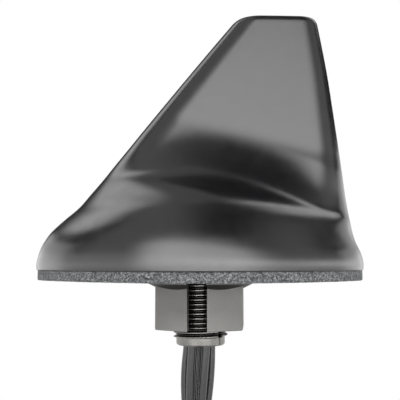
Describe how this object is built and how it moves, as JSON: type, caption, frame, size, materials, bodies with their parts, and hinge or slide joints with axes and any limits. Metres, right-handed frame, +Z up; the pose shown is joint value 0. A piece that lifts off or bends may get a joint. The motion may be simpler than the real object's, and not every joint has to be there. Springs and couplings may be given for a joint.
{
  "type": "gps antenna",
  "caption": "Shark-fin roof antenna: moulded fin housing on a foam pad, with a hollow threaded stud, a slotted flange nut and short coaxial tails.",
  "frame": {"origin": "on the stud's axis, in the plane of the foam pad's underside, where the roof's skin lies", "axes": "+Z up out of the roof, -X towards the front of the fin, Y across the vehicle"},
  "size_m": [0.1153, 0.0866, 0.2069],
  "materials": {
    "housing_black": "satin moulded black",
    "foam_grey": "grained closed-cell foam",
    "zinc_plate": "die-cast, as cast",
    "zinc_nut": "zinc plated, fine grain",
    "stud_steel": "zinc plated thread",
    "screw_steel": "plain steel",
    "black_rubber": "matt",
    "board_green": "solder mask",
    "tin_can": "tinned sheet",
    "ceramic": "fired ceramic",
    "copper_foil": "bare copper",
    "cable_black": "smooth extruded jacket",
    "gold_brass": "gold plated",
    "insulator_white": "turned white plastic",
    "tie_black": "satin"
  },
  "bodies": {
    "root": {"fin_housing": "housing_black", "foam_pad": "foam_grey", "base_plate": "zinc_plate", "seal_ring": "black_rubber", "housing_screws": "screw_steel", "hollow_stud": "stud_steel", "flange_nut": "zinc_nut", "main_board": "board_green", "board_screws": "screw_steel", "shield_can_left": "tin_can", "shield_can_right": "tin_can", "patch_tape": "black_rubber", "gnss_board": "board_green", "gnss_patch": "ceramic", "gnss_feed_pin": "gold_brass", "fin_board": "board_green", "cellular_foil_left": "copper_foil", "cellular_foil_right": "copper_foil", "wifi_aerial_left": "copper_foil", "wifi_aerial_right": "copper_foil", "cable_grommet": "black_rubber", "inner_leads": "cable_black", "cable_tie": "tie_black", "coax_tail_1": "cable_black", "jack_body_1": "gold_brass", "jack_insulator_1": "insulator_white", "jack_contact_1": "gold_brass", "shrink_sleeve_1": "tie_black", "coax_tail_2": "cable_black", "jack_body_2": "gold_brass", "jack_insulator_2": "insulator_white", "jack_contact_2": "gold_brass", "shrink_sleeve_2": "tie_black", "coax_tail_3": "cable_black", "jack_body_3": "gold_brass", "jack_insulator_3": "insulator_white", "jack_contact_3": "gold_brass", "shrink_sleeve_3": "tie_black", "coax_tail_4": "cable_black", "jack_body_4": "gold_brass", "jack_insulator_4": "insulator_white", "jack_contact_4": "gold_brass", "shrink_sleeve_4": "tie_black", "coax_tail_5": "cable_black", "jack_body_5": "gold_brass", "jack_insulator_5": "insulator_white", "jack_contact_5": "gold_brass", "shrink_sleeve_5": "tie_black"}
  },
  "joints": []
}
